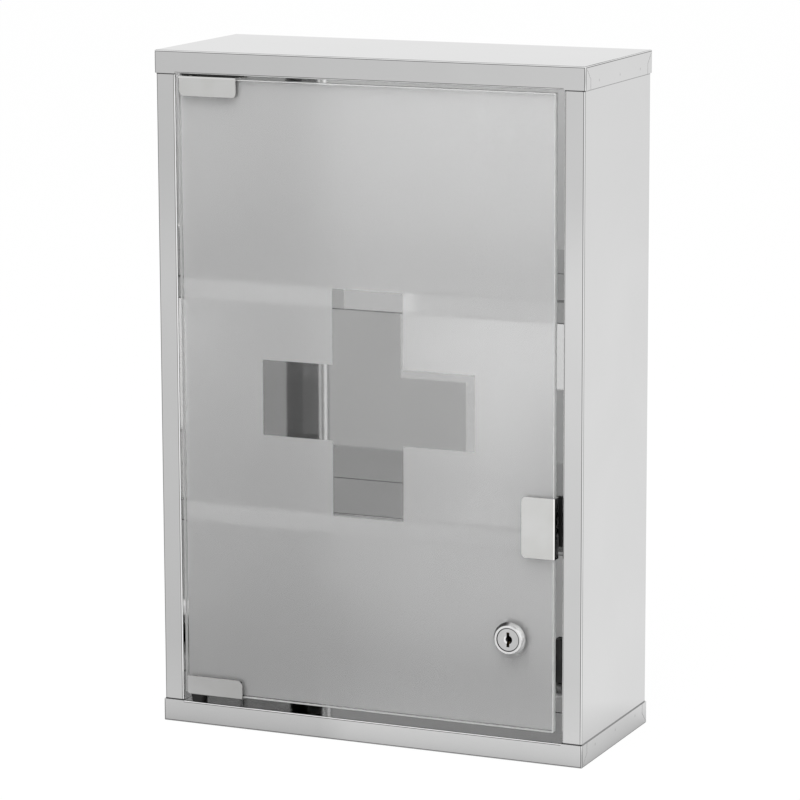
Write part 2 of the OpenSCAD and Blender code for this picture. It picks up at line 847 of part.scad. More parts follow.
module lock_housing() {
    color(CHROME) lock_turned() polygon([
        [plug_d/2 + run_gap, barrel_back_y], [plug_d/2 + run_gap, plug_head_back_y + run_gap],
        [rim_in_d/2, plug_head_back_y + run_gap], [rim_in_d/2, bezel_front_y],
        [bezel_rim_d/2, bezel_front_y], [bezel_d/2, bezel_back_y - bezel_land],
        [bezel_d/2, bezel_back_y], [barrel_d/2, bezel_back_y], [barrel_d/2, barrel_back_y]
    ]);
}

module lock_gasket() {
    color(BLACK) difference() {
        rod_y(lock_x, lock_z, bezel_d - gap, bezel_back_y, glass_front_y);
        rod_y(lock_x, lock_z, lock_hole_d, bezel_back_y - over, glass_front_y + over);
    }
}

module lock_nut() {
    color(CHROME) difference() {
        translate([lock_x, nut_front_y, lock_z]) rotate([-90, -nut_turn, 0])
            cylinder(d = nut_af/cos(30), h = nut_t, $fn = 6);
        rod_y(lock_x, lock_z, barrel_d + 2*run_gap, nut_front_y - over, nut_front_y + nut_t + over);
    }
}

// Middle of the wafer number i along Y
function wafer_y(i) = wafer_first_y + i*wafer_pitch;

module lock_plug() {
    color(CHROME) difference() {
        union() {
            rod_y(lock_x, lock_z, plug_head_d, plug_front_y, plug_head_back_y);
            rod_y(lock_x, lock_z, plug_d, plug_head_back_y, plug_back_y);
            translate([lock_x, plug_back_y + cam_t/2, lock_z]) cube([tail_w, cam_t, tail_w], center = true);
        }
        span([lock_x - keyway_w/2, plug_front_y - over, lock_z - keyway_h/2],
             [lock_x + keyway_w/2, plug_front_y + keyway_l, lock_z + keyway_h/2]);
        translate([lock_x, plug_front_y, lock_z]) rotate([-90, 0, 0])
            cylinder(d1 = dish_d, d2 = keyway_w, h = dish_depth);
        for (i = [0:wafer_count - 1])
            translate([lock_x, wafer_y(i), lock_z])
                cube([wafer_w + 2*wafer_gap, wafer_t + 2*wafer_gap, plug_d + over], center = true);
        rod_y(lock_x, lock_z, cam_screw_d + 2*run_gap, cam_screw_seat_y - cam_screw_l, cam_back_y + over);
    }
}

module lock_wafers() {
    color("gold") for (i = [0:wafer_count - 1])
        translate([lock_x, wafer_y(i), lock_z]) difference() {
            cube([wafer_w, wafer_t, wafer_h], center = true);
            translate([0, 0, wafer_offsets[i]])
                cube([keyway_w, wafer_t + over, wafer_window_h], center = true);
        }
}

// Cam, pointing down when unlocked
module lock_cam() {
    hole = tail_w + 2*run_gap;
    tip_r = cam_w/2;
    color(CHROME) translate([lock_x, cam_front_y, lock_z]) rotate([-90, 0, 0])
        linear_extrude(cam_t) difference() {
            union() {
                circle(d = cam_hub_d);
                translate([-cam_w/2, 0]) square([cam_w, cam_l - tip_r]);
                translate([0, cam_l - tip_r]) circle(r = tip_r);
            }
            square(hole, center = true);
        }
}

module lock_cam_washer() {
    color(CHROME) difference() {
        rod_y(lock_x, lock_z, cam_washer_d, cam_back_y, cam_back_y + cam_washer_t);
        rod_y(lock_x, lock_z, cam_screw_d + 2*run_gap, cam_back_y - over, cam_back_y + cam_washer_t + over);
    }
}

module lock_cam_screw() {
    head_y = cam_screw_seat_y + cam_screw_head_h;
    color(CHROME) {
        rod_y(lock_x, lock_z, cam_screw_head_d, cam_screw_seat_y, head_y);
        rod_y(lock_x, lock_z, cam_screw_d, cam_screw_seat_y - cam_screw_l + cam_screw_tip_gap, head_y);
    }
}

top_cap();
bottom_cap();
side_left();
side_right();
back_panel();
shelf_upper();
shelf_lower();
hinge_top_bush();
hinge_plate_screw();
hinge_bottom_bush();
latch_housing();
latch_spring();
latch_screws();
door_stop_block();
door_stop_screws();
door_glass();
frosted_print();
hinge_top_clip();
hinge_bottom_clip();
hinge_top_pin();
hinge_bottom_pin();
hinge_top_liner();
hinge_bottom_liner();
hinge_top_screws();
hinge_bottom_screws();
strike_clip();
strike_liner();
strike_screws();
lock_housing();
lock_gasket();
lock_nut();
lock_plug();
lock_wafers();
lock_cam();
lock_cam_washer();
lock_cam_screw();
latch_plunger();
latch_magnet();
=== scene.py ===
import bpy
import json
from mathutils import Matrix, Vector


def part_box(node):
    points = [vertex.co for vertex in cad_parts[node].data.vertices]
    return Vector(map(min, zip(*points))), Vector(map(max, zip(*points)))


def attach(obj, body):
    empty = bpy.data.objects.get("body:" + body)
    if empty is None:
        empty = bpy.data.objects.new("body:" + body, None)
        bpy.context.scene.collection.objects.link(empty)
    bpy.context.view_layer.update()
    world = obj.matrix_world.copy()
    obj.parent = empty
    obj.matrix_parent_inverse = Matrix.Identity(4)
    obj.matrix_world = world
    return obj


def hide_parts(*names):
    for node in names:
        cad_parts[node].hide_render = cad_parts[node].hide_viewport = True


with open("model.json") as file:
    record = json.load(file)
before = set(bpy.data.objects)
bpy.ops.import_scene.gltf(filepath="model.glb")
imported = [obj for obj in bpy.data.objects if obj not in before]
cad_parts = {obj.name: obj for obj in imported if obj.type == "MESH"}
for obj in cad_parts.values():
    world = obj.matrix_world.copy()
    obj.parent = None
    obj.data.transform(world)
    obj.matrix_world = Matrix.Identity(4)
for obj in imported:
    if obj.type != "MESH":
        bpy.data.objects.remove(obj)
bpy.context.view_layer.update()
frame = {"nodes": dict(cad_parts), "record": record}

import json
import math
import bpy
import bmesh
from mathutils import Matrix, Vector

scene = bpy.context.scene
mm = 0.001
nodes = frame["nodes"]
bodies = frame["record"]["behaviour"]["bodies"]
bodyOf = {node: body for body, members in bodies.items() for node in members}
slotOf = {part["node"]: part["material_slot"] for part in frame["record"]["subparts"]}


view = {
    "place": (0.9897, -2.2544, 0.6864),  # metres, to the right and in front of the door
    "azimuth": 23.76, "elevation": 10.75, "roll": -0.20,  # degrees
    "focalPx": 3803.3,  # focal length in pixels of the square frame
    "framePx": 800,
    "sensor": 36,
    "clipEnd": 30,
}


def addCamera():
    az, el, roll = (math.radians(view[key]) for key in ("azimuth", "elevation", "roll"))
    ahead = Vector((-math.sin(az) * math.cos(el), math.cos(az) * math.cos(el), -math.sin(el)))
    level = ahead.cross(Vector((0, 0, 1))).normalized()
    upright = level.cross(ahead)
    right = math.cos(roll) * level + math.sin(roll) * upright
    up = math.cos(roll) * upright - math.sin(roll) * level
    data = bpy.data.cameras.new("photoCamera")
    data.sensor_width = view["sensor"]
    data.lens = view["focalPx"] / view["framePx"] * view["sensor"]
    data.clip_end = view["clipEnd"]
    camera = bpy.data.objects.new("photoCamera", data)
    scene.collection.objects.link(camera)
    turn = Matrix((right, up, -ahead)).transposed().to_4x4()
    camera.matrix_world = Matrix.Translation(view["place"]) @ turn
    scene.camera = camera


addCamera()
print("camera placed")


def addNode(tree, kind, at, values=None, **settings):
    node = tree.nodes.new(kind)
    node.location = at
    for key, value in settings.items():
        setattr(node, key, value)
    for key, value in (values or {}).items():
        node.inputs[key].default_value = value
    return node


def feed(tree, sockets, terms):
    # a term is a number or another node's output
    for socket, term in zip(sockets, terms):
        if isinstance(term, (int, float)):
            socket.default_value = term
        else:
            tree.links.new(term, socket)


def nextPlace(tree, row):
    # worked-out nodes stand side by side in the editor
    return 170 * len(tree.nodes) - 900, row


def calc(tree, operation, *terms, clamp=False):
    node = addNode(tree, "ShaderNodeMath", nextPlace(tree, -500), operation=operation, use_clamp=clamp)
    feed(tree, node.inputs, terms)
    return node.outputs[0]


def ramp(tree, value, fromLow, fromHigh, toLow=0.0, toHigh=1.0):
    node = addNode(tree, "ShaderNodeMapRange", nextPlace(tree, -700))
    feed(tree, node.inputs, (value, fromLow, fromHigh, toLow, toHigh))
    return node.outputs[0]


def slope(tree, value, ends):
    # runs from one (place, level) pair to another
    (start, first), (end, last) = ends
    return ramp(tree, value, start, end, first, last)


def above(tree, value, limit):
    return calc(tree, "GREATER_THAN", value, limit)


def below(tree, value, limit):
    return calc(tree, "LESS_THAN", value, limit)


def minus(tree, value, other):
    return calc(tree, "SUBTRACT", value, other)


def magnitude(tree, value):
    return calc(tree, "ABSOLUTE", value)


def times(tree, product, *others):
    for other in others:
        product = calc(tree, "MULTIPLY", product, other)
    return product


def largest(tree, found, *others):
    for other in others:
        found = calc(tree, "MAXIMUM", found, other)
    return found


def distance(tree, across, up):
    return calc(tree, "SQRT", calc(tree, "ADD", times(tree, across, across), times(tree, up, up)))


def toneWhere(tree, *pairs):
    # each mask's tone inside it and 1 outside, all multiplied
    return times(tree, *[ramp(tree, mask, 0.0, 1.0, 1.0, tone) for mask, tone in pairs])


def coordinates(tree, output="Object"):
    return addNode(tree, "ShaderNodeTexCoord", (-1200, -400)).outputs[output]


def axes(tree, output="Object"):
    apart = addNode(tree, "ShaderNodeSeparateXYZ", (-1050, -400))
    tree.links.new(coordinates(tree, output), apart.inputs[0])
    return apart.outputs[:3]


def addNoise(tree, vector, scale, at, values):
    noise = addNode(tree, "ShaderNodeTexNoise", at, values)
    feed(tree, (noise.inputs["Vector"], noise.inputs["Scale"]), (vector, scale))
    return noise.outputs["Fac"]


def makeGroup(name, output, build, inputs):
    # a group that gives one value: triples become vector sockets, numbers float ones
    tree = bpy.data.node_groups.new(name, "ShaderNodeTree")
    for label, value in inputs.items():
        kind = "NodeSocketVector" if isinstance(value, tuple) else "NodeSocketFloat"
        socket = tree.interface.new_socket(name=label, in_out="INPUT", socket_type=kind)
        socket.default_value = value
    tree.interface.new_socket(name=output, in_out="OUTPUT", socket_type="NodeSocketFloat")
    given = addNode(tree, "NodeGroupInput", (-900, 0)).outputs
    out = addNode(tree, "NodeGroupOutput", (700, 0))
    tree.links.new(build(tree, given), out.inputs[output])
    return tree


def grainValue(tree, given):
    # long scratches that a rolling or polishing pass leaves, as a mask round the middle value
    middle = 0.5
    stretched = addNode(tree, "ShaderNodeVectorMath", (-650, -100), operation="MULTIPLY")
    feed(tree, stretched.inputs, (coordinates(tree), given["Stretch"]))
    noise = addNoise(tree, stretched.outputs[0], given["Scale"], (-400, 0), {"Detail": 4.0, "Roughness": 0.65})
    swing = times(tree, minus(tree, noise, middle), given["Contrast"])
    return calc(tree, "ADD", swing, middle, clamp=True)


def patchValue(tree, given):
    # broad soft patches, such as handling leaves on metal or glass
    noise = addNoise(tree, coordinates(tree), given["Scale"], (-450, 0),
                     {"Detail": 3.0, "Roughness": 0.5, "Distortion": 0.6})
    return ramp(tree, noise, given["Low"], given["High"])


polishLines = makeGroup("polishLines", "Lines", grainValue, {
    "Stretch": (1, 1, 1), "Scale": 100.0, "Contrast": 1.0})
softPatches = makeGroup("softPatches", "Value", patchValue, {"Scale": 10.0, "Low": 0.3, "High": 0.7})


# The groups below each give a factor for a material's colour; all but the weld marks paint light or shade into
# it.
# Lengths in them are metres in the cabinet's frame, and a face looks along an axis when its normal has at
# least this much of it.
leaning = 0.5


def foldShadeAndHighlight(tree, given):
    # painted shade where a fold starts and ends, and a painted highlight along its middle
    flatness = largest(tree, *[magnitude(tree, axis) for axis in axes(tree, "Normal")])
    edge = toneWhere(tree, (ramp(tree, flatness, given["Flat"], given["Bent"]), given["Start"]))
    middle = ramp(tree, flatness, given["Turning"], given["Turned"])
    return ramp(tree, middle, 0.0, 1.0, edge, given["Middle"])


def seamShadeTone(tree, given):
    # side panels: painted shade where the caps' flanges lap over them, on the inner faces and at the rear
    # fold, and painted light on the return flanges beside the door
    x, y, z = axes(tree)
    normal = axes(tree, "Normal")
    outward = times(tree, normal[0], calc(tree, "SIGN", x))
    lapped = largest(tree, below(tree, z, given["Low"]), above(tree, z, given["High"]))
    return toneWhere(
        tree,
        (times(tree, below(tree, normal[1], -leaning), lapped), given["Front"]),
        (times(tree, above(tree, outward, leaning), lapped), given["Side"]),
        (below(tree, outward, -leaning), given["Inside"]),
        (below(tree, magnitude(tree, x), given["Frame"]), given["Return"]),
        (times(tree, above(tree, y, given["Fold"]), below(tree, outward, given["Turn"])), given["Rear"]))


def lipShadeTone(tree, given):
    # shelves: painted shade on the cut lower edge of the front lips, a painted shadow line along the back
    # sheet, and painted shade on the tops
    y, z = axes(tree)[1:]
    normal = axes(tree, "Normal")
    height = minus(tree, calc(tree, "MODULO", z, given["Pitch"]), given["Edge"])
    cut = times(tree, below(tree, magnitude(tree, height), given["Width"]), below(tree, normal[1], -leaning))
    top = above(tree, normal[2], leaning)
    line = largest(tree, cut, times(tree, above(tree, y, given["Rear"]), top))
    return toneWhere(tree, (line, given["Tone"]), (top, given["Top"]))


def weldTone(tree, given):
    # faint ring round each spot weld on the caps' side flanges
    x, y, z = axes(tree)
    half = times(tree, given["Pitch"], 0.5)
    along = calc(tree, "WRAP", minus(tree, y, given["Offset"]), half, times(tree, half, -1.0))
    up = minus(tree, magnitude(tree, minus(tree, z, given["Middle"])), given["Rise"])
    offRing = magnitude(tree, minus(tree, distance(tree, along, up), given["Radius"]))
    onSide = above(tree, magnitude(tree, x), given["Side"])
    inside = below(tree, magnitude(tree, y), given["Reach"])
    ring = ramp(tree, offRing, given["Width"], 0.0)
    return toneWhere(tree, (times(tree, onSide, inside, ring), given["Tone"]))


def paintedHeightTone(tree, given):
    # painted light (Tone above one) or painted shade (Tone below one) growing between two heights, on faces
    # turned less to the rear than Facing
    change = ramp(tree, axes(tree)[2], given["From"], given["To"])
    facing = below(tree, axes(tree, "Normal")[1], given["Facing"])
    return toneWhere(tree, (times(tree, change, facing), given["Tone"]))


def clipEdgeLight(tree, given):
    # clip edges: painted shade at the left, a painted dark reflection on the web, and a painted highlight at
    # the right
    x = axes(tree)[0]
    normal = axes(tree, "Normal")
    front = below(tree, normal[1], given["Ahead"])
    leftward = times(tree, normal[0], -1.0)
    return toneWhere(
        tree,
        (times(tree, above(tree, normal[0], given["Turn"]), front), given["Right"]),
        (times(tree, above(tree, leftward, given["Turn"]), front), given["Left"]),
        (times(tree, above(tree, normal[0], given["Across"]), above(tree, x, given["Edge"])), given["Web"]))


def paneEdgeLight(tree, given):
    # ground glass edges: painted shade on the front arris, painted light on the upright edges
    normal = axes(tree, "Normal")
    arris = below(tree, normal[1], given["Ahead"])
    upright = above(tree, magnitude(tree, normal[0]), given["Across"])
    return toneWhere(tree, (arris, given["Front"]), (upright, given["Side"]))


def lockPlace(tree, given):
    # place along the lock's axis, and distance from it
    x, y, z = axes(tree)
    return y, distance(tree, minus(tree, x, given["Across"]), minus(tree, z, given["Up"]))


def keyholeShadeAndGlint(tree, given):
    # painted shade in the keyway with a painted highlight on its left wall, and painted shade round the edge
    # of the plug's face
    y, reach = lockPlace(tree, given)
    depth = minus(tree, y, given["Face"])
    sunk = times(tree, above(tree, depth, given["Sunk"]), below(tree, reach, given["Keyway"]))
    wall = above(tree, axes(tree, "Normal")[0], given["Turn"])
    lit = times(tree, sunk, wall, below(tree, depth, given["Lit"]))
    dark = largest(tree, minus(tree, sunk, lit), above(tree, reach, given["Rim"]))
    return calc(tree, "ADD", toneWhere(tree, (dark, given["Tone"])), times(tree, lit, given["Bright"]))


def bezelShadeAndGlint(tree, given):
    # painted shade in the groove inside the rim, a painted dark reflection at the upper left, and a painted
    # highlight on the right side
    y, reach = lockPlace(tree, given)
    normal = axes(tree, "Normal")
    groove = times(tree, below(tree, reach, given["Groove"]), below(tree, y, given["Rim"]))
    toward = minus(tree, times(tree, normal[2], given["UpShare"]), times(tree, normal[0], given["LeftShare"]))
    turned = ramp(tree, toward, given["PatchStart"], given["PatchEnd"])
    # painted dark reflection on the bezel's upper left
    patch = times(tree, turned, above(tree, reach, given["Patch"]))
    dark = times(tree, largest(tree, groove, patch), below(tree, y, given["Face"]))
    bright = ramp(tree, normal[0], given["RightStart"], given["RightEnd"], 0.0, given["Right"])
    return calc(tree, "ADD", toneWhere(tree, (dark, given["Tone"])), bright)


lockAxis = {"Across": 0.1, "Up": 0.081}
paintedFoldLight = makeGroup("paintedFoldLight", "Tone", foldShadeAndHighlight, {
    "Start": 0.25, "Middle": 1.3, "Flat": 0.9998, "Bent": 0.992, "Turning": 0.93, "Turned": 0.87})
paintedSeamShade = makeGroup("paintedSeamShade", "Tone", seamShadeTone, {
    "Low": 0.0158, "High": 0.4342, "Front": 0.15, "Side": 0.55, "Inside": 0.84,
    "Frame": 0.1362, "Return": 1.9, "Fold": 0.052, "Turn": 0.2, "Rear": 0.7})
paintedLipShade = makeGroup("paintedLipShade", "Tone", lipShadeTone, {
    "Pitch": 0.15, "Edge": 0.135, "Width": 0.0007, "Rear": 0.0565, "Tone": 0.3, "Top": 0.71})
weldMarks = makeGroup("weldMarks", "Tone", weldTone, {
    "Offset": 0.0005, "Pitch": 0.037, "Middle": 0.225, "Rise": 0.2145, "Side": 0.1495, "Reach": 0.05,
    "Radius": 0.0004, "Width": 0.0008, "Tone": 0.75})
heightLightShade = makeGroup("heightLightShade", "Tone", paintedHeightTone, {
    "From": 0.28, "To": 0.42, "Tone": 1.5, "Facing": 0.5})
paintedClipEdges = makeGroup("paintedClipEdges", "Tone", clipEdgeLight, {
    "Right": 1.5, "Left": 0.4, "Web": 0.04, "Edge": 0.13, "Ahead": -0.1, "Turn": 0.2, "Across": 0.8})
paintedEdgeLight = makeGroup("paintedEdgeLight", "Tone", paneEdgeLight, {
    "Front": 0.78, "Ahead": -0.3, "Side": 1.45, "Across": 0.9})
paintedKeyholeLight = makeGroup("paintedKeyholeLight", "Tone", keyholeShadeAndGlint, {
    **lockAxis, "Face": -0.0632, "Sunk": 0.00008, "Keyway": 0.0056, "Turn": 0.3, "Lit": 0.0009, "Bright": 0.4,
    "Rim": 0.00725, "Tone": 0.06})
paintedBezelLight = makeGroup("paintedBezelLight", "Tone", bezelShadeAndGlint, {
    **lockAxis, "Groove": 0.00786, "Rim": -0.06, "Face": -0.0592, "Tone": 0.12,
    "Patch": 0.0093, "UpShare": 0.4, "LeftShare": 0.92, "PatchStart": 0.25, "PatchEnd": 0.5,
    "Right": 0.2, "RightStart": 0.2, "RightEnd": 0.5})


def addGroup(tree, group, at, values):
    return addNode(tree, "ShaderNodeGroup", at, values, node_tree=group).outputs[0]


def startMaterial(name, finish):
    material = bpy.data.materials.new(name)
    material.use_nodes = True
    tree = material.node_tree
    tree.nodes.clear()
    out = addNode(tree, "ShaderNodeOutputMaterial", (900, 0))
    shader = addNode(tree, "ShaderNodeBsdfPrincipled", (600, 0))
    tree.links.new(shader.outputs[0], out.inputs["Surface"])
    patches = addGroup(tree, softPatches, (-350, 250), {"Scale": finish["patchScale"]})
    return material, tree, shader, patches


def scaled(tree, colour, factor, at):
    node = addNode(tree, "ShaderNodeVectorMath", at, operation="SCALE")
    tree.links.new(colour, node.inputs[0])
    tree.links.new(factor, node.inputs["Scale"])
    return node.outputs[0]


def patchedColour(tree, patches, finish, shades=()):
    # from dark to light with the patches, then scaled by each shade
    mix = addNode(tree, "ShaderNodeMix", (0, 200), data_type="RGBA")
    mix.inputs["A"].default_value = (*finish["dark"], 1)
    mix.inputs["B"].default_value = (*finish["light"], 1)
    tree.links.new(patches, mix.inputs["Factor"])
    colour = mix.outputs["Result"]
    for i, (group, values) in enumerate(shades):
        tone = addGroup(tree, group, (0, 400 + 150 * i), values)
        colour = scaled(tree, colour, tone, (200 + 150 * i, 300))
    return colour


def setRoughness(tree, shader, factor, finish):
    low, high = finish["roughness"]
    spread = addNode(tree, "ShaderNodeMapRange", (250, -50), {"To Min": low, "To Max": high})
    tree.links.new(factor, spread.inputs["Value"])
    tree.links.new(spread.outputs[0], shader.inputs["Roughness"])


def addRelief(tree, shader, height, finish):
    bump = addNode(tree, "ShaderNodeBump", (350, -300),
                   {"Strength": finish["relief"], "Distance": finish.get("depth", 0.02 * mm)})
    tree.links.new(height, bump.inputs["Height"])
    tree.links.new(bump.outputs[0], shader.inputs["Normal"])


def metal(name, finish, *shades):
    # patches tint the metal, polishing lines set its gloss and a very low relief
    material, tree, shader, patches = startMaterial(name, finish)
    lines = addGroup(tree, polishLines, (-200, -50), {
        "Stretch": finish["stretch"], "Scale": finish["lineScale"], "Contrast": finish["contrast"]})
    shader.inputs["Metallic"].default_value = 1
    shader.inputs["Specular Tint"].default_value = (*grey(finish.get("grazing", 1.0)), 1)
    tree.links.new(patchedColour(tree, patches, finish, shades), shader.inputs["Base Color"])
    setRoughness(tree, shader, lines, finish)
    addRelief(tree, shader, lines, finish)
    return material


def plastic(name, finish):
    # fine pebbled relief, with rubbed patches a little glossier
    material, tree, shader, patches = startMaterial(name, finish)
    pebbles = addNoise(tree, coordinates(tree), finish["pebbleScale"], (-200, -250), {"Detail": 2.0})
    shader.inputs["Specular IOR Level"].default_value = finish["specular"]
    tree.links.new(patchedColour(tree, patches, finish), shader.inputs["Base Color"])
    setRoughness(tree, shader, patches, finish)
    addRelief(tree, shader, pebbles, finish)
    return material


def grey(level):
    return (level,) * 3


steelFinish = {
    "dark": grey(0.615), "light": grey(0.64), "patchScale": 9.0, "grazing": 0.9,
    "stretch": (1, 1, 0.02), "lineScale": 2600.0, "contrast": 1.2, "roughness": (0.035, 0.07), "relief": 0.02,
}
shelfFinish = {
    "dark": grey(0.565), "light": grey(0.60), "patchScale": 7.0,
    "stretch": (0.02, 1, 1), "lineScale": 2400.0, "contrast": 1.2, "roughness": (0.03, 0.06), "relief": 0.02,
}
clipFinish = {
    "dark": (0.605, 0.605, 0.59), "light": (0.66, 0.66, 0.657), "patchScale": 35.0,
    "stretch": (1, 1, 1), "lineScale": 900.0, "contrast": 0.8, "roughness": (0.14, 0.2), "relief": 0.04,
}
lockFinish = {
    "dark": grey(0.72), "light": grey(0.80), "patchScale": 90.0,
    "stretch": (1, 1, 1), "lineScale": 3000.0, "contrast": 1.0, "roughness": (0.08, 0.16), "relief": 0.05,
}
zincFinish = {
    "dark": (0.50, 0.50, 0.48), "light": (0.66, 0.66, 0.63), "patchScale": 300.0,
    "stretch": (1, 1, 1), "lineScale": 2500.0, "contrast": 1.5, "roughness": (0.22, 0.38), "relief": 0.2,
}
wireFinish = {
    "dark": grey(0.38), "light": grey(0.52), "patchScale": 400.0,
    "stretch": (1, 1, 1), "lineScale": 4000.0, "contrast": 1.5, "roughness": (0.25, 0.4), "relief": 0.2,
}
magnetFinish = {
    "dark": (0.36, 0.36, 0.37), "light": (0.48, 0.48, 0.49), "patchScale": 300.0,
    "stretch": (1, 1, 1), "lineScale": 3500.0, "contrast": 1.5, "roughness": (0.2, 0.35), "relief": 0.15,
}
shadedBrassFinish = {  # brass darkened as painted shade inside the keyway
    "dark": (0.09, 0.07, 0.035), "light": (0.16, 0.12, 0.06), "patchScale": 300.0,
    "stretch": (1, 1, 0.1), "lineScale": 4000.0, "contrast": 1.5, "roughness": (0.3, 0.45), "relief": 0.2,
}
blackFinish = {
    "dark": grey(0.006), "light": grey(0.013), "patchScale": 80.0, "pebbleScale": 9000.0,
    "roughness": (0.4, 0.55), "relief": 0.5, "depth": 0.05 * mm, "specular": 0.2,
}
rubberFinish = {
    "dark": grey(0.006), "light": grey(0.012), "patchScale": 120.0, "pebbleScale": 6000.0,
    "roughness": (0.6, 0.8), "relief": 0.6, "depth": 0.05 * mm, "specular": 0.2,
}
glassFinish = {
    "dark": (0.984, 0.985, 0.984), "light": (0.990, 0.991, 0.990), "patchScale": 14.0,
    "roughness": (0.0, 0.015), "transmission": 1.0, "ior": 1.5,
}
groundFinish = {  # the pane's edges, ground and half polished
    "dark": (0.54, 0.545, 0.54), "light": (0.60, 0.605, 0.60), "patchScale": 60.0,
    "roughness": (0.35, 0.5), "transmission": 0.25, "ior": 1.5,
}
frostingFinish = {  # satin: it blurs what stands right behind it and hides the rest
    "dark": grey(0.94), "light": grey(0.96), "patchScale": 8.0, "gritScale": 5000.0,
    "roughness": (0.6, 0.7), "relief": 0.08, "transmission": 0.78, "ior": 1.17,
    # painted shade towards the bottom of the print
    "paintedLowerShade": {"From": 0.2, "To": 0.02, "Tone": 0.92, "Facing": 2.0},
    "rearFaceShade": 0.7,  # painted shade on the rear face, seen straight from behind at an open door
}


def setGlass(shader, finish):
    shader.inputs["Transmission Weight"].default_value = finish["transmission"]
    shader.inputs["IOR"].default_value = finish["ior"]


def glass(name, finish, *shades):
    material, tree, shader, patches = startMaterial(name, finish)
    tree.links.new(patchedColour(tree, patches, finish, shades), shader.inputs["Base Color"])
    setRoughness(tree, shader, patches, finish)
    setGlass(shader, finish)
    return material


def frosting(name, finish):
    material, tree, shader, patches = startMaterial(name, finish)
    grit = addNoise(tree, coordinates(tree), finish["gritScale"], (-350, -200), {"Detail": 2.0})
    # painted shade on the print's rear face, for rays straight from the camera
    direct = addNode(tree, "ShaderNodeLightPath", (-600, 600)).outputs["Is Camera Ray"]
    behind = times(tree, above(tree, axes(tree, "Normal")[1], leaning), direct)
    colour = patchedColour(tree, patches, finish, ((heightLightShade, finish["paintedLowerShade"]),))
    tinted = scaled(tree, colour, toneWhere(tree, (behind, finish["rearFaceShade"])), (450, 300))
    tree.links.new(tinted, shader.inputs["Base Color"])
    setRoughness(tree, shader, grit, finish)
    addRelief(tree, shader, grit, finish)
    setGlass(shader, finish)
    return material


# painted shade and highlights along the sheet folds
foldLight = (paintedFoldLight, {})
materials = {
    "carcass_steel": metal("carcassSteel", steelFinish, foldLight, (weldMarks, {})),
    "shelf_steel": metal("shelfSteel", shelfFinish, foldLight, (paintedLipShade, {})),
    "clip_chrome": metal("clipChrome", clipFinish, (paintedClipEdges, {})),
    "lock_chrome": metal("lockChrome", lockFinish),
    "zinc": metal("zincPlate", zincFinish),
    "spring_wire": metal("springWire", wireFinish),
    "magnet": metal("magnetNickel", magnetFinish),
    "brass": metal("waferBrassInShade", shadedBrassFinish),
    "black_plastic": plastic("blackPlastic", blackFinish),
    "rubber": plastic("blackRubber", rubberFinish),
    "glass": glass("doorGlassClear", glassFinish),
    "frosting": frosting("doorFrosting", frostingFinish),
}


def changed(finish, dark, light):
    return {**finish, "dark": dark, "light": light}


ownMaterials = {  # nodes whose finish differs from their slot's
    "side_left": metal("sideSteel", steelFinish, foldLight, (paintedSeamShade, {})),
    # the back sheet's steel lightened as painted light, with more painted light on its upper inner face
    "back_panel": metal("backSheetSteelLit", changed(shelfFinish, grey(0.65), grey(0.68)), (heightLightShade, {})),
    "lock_plug": metal("lockPlugChrome", changed(lockFinish, grey(0.54), grey(0.60)), (paintedKeyholeLight, {})),
    "lock_housing": metal("lockBezelChrome", lockFinish, (paintedBezelLight, {})),
    # the bottom hinge clip's chrome darkened as painted shade, with the painted clip edges
    "hinge_bottom_clip": metal("hingeClipChromeShaded", changed(clipFinish, (0.46, 0.46, 0.45), grey(0.53)),
                               (paintedClipEdges, {})),
    "lock_cam": metal("camZinc", changed(zincFinish, grey(0.34), grey(0.42))),
    # the lock nut's chrome lightened as painted light, to show bright through the print
    "lock_nut": metal("lockNutChromeLit", changed(lockFinish, grey(0.90), grey(0.95))),
}
ownMaterials["side_right"] = ownMaterials["side_left"]
groundEdge = glass("doorGlassGroundEdge", groundFinish, (paintedEdgeLight, {}))
for name, node in nodes.items():
    node.data.materials.clear()
    node.data.materials.append(ownMaterials.get(name) or materials[slotOf[name]])
print("finishes made:", len(materials))


meshing = {
    "mergeWithin": 0.002 * mm,
    "flatWithin": 0.5, "smoothBelow": 35, "sharperThan": 40,  # degrees
    "bevelSegments": 2,
    "flatWeight": 100,  # wide flat faces keep their own normals beside narrow folds
}
sheetNodes = ("top_cap", "bottom_cap", "side_left", "side_right", "back_panel", "shelf_upper", "shelf_lower")
softWidths = {  # edge rounding in millimetres
    "hinge_top_clip": 0.3, "hinge_bottom_clip": 0.3, "strike_clip": 0.3,
    "hinge_top_bush": 0.15, "hinge_bottom_bush": 0.2, "latch_housing": 0.4, "door_stop_block": 0.5,
    "latch_plunger": 0.3, "lock_housing": 0.2, "lock_plug": 0.2, "lock_nut": 0.1, "lock_cam": 0.2,
    "hinge_plate_screw": 0.3, "latch_screws": 0.3, "door_stop_screws": 0.3, "hinge_top_screws": 0.3,
    "hinge_bottom_screws": 0.3, "strike_screws": 0.3, "lock_cam_screw": 0.3,
}
setBack = {"lock_nut": 0.06 * mm}  # front faces kept a hair off the print they press on


def mergedCopy(name):
    mesh = nodes[name].data.copy()
    bm = bmesh.new()
    bm.from_mesh(mesh)
    bmesh.ops.remove_doubles(bm, verts=bm.verts, dist=meshing["mergeWithin"])
    bmesh.ops.dissolve_limit(bm, angle_limit=math.radians(meshing["flatWithin"]),
                             verts=bm.verts, edges=bm.edges)
    return bm, mesh


